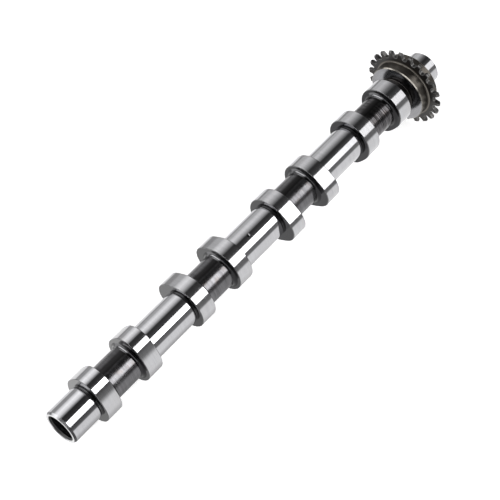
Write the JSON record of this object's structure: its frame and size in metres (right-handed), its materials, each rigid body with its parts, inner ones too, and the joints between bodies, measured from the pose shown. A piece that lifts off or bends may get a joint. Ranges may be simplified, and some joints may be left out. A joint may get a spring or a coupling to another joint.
{
  "type": "camshaft",
  "caption": "Overhead camshaft with paired lobes, ground bearing journals, a hollow nose and a small roller chain wheel on its hub, all in one piece.",
  "frame": {"origin": "centre of the nose face, at the mouth of the nose bore", "axes": "+X along the shaft from the nose to the chain wheel, +Z towards the noses of the first pair of lobes"},
  "size_m": [0.3782, 0.0614, 0.0614],
  "materials": {
    "ground_steel": "ground bright on the journals, lobes and hub, darker on the unground cores and teeth"
  },
  "bodies": {
    "root": {"camshaft": "ground_steel"}
  },
  "joints": []
}
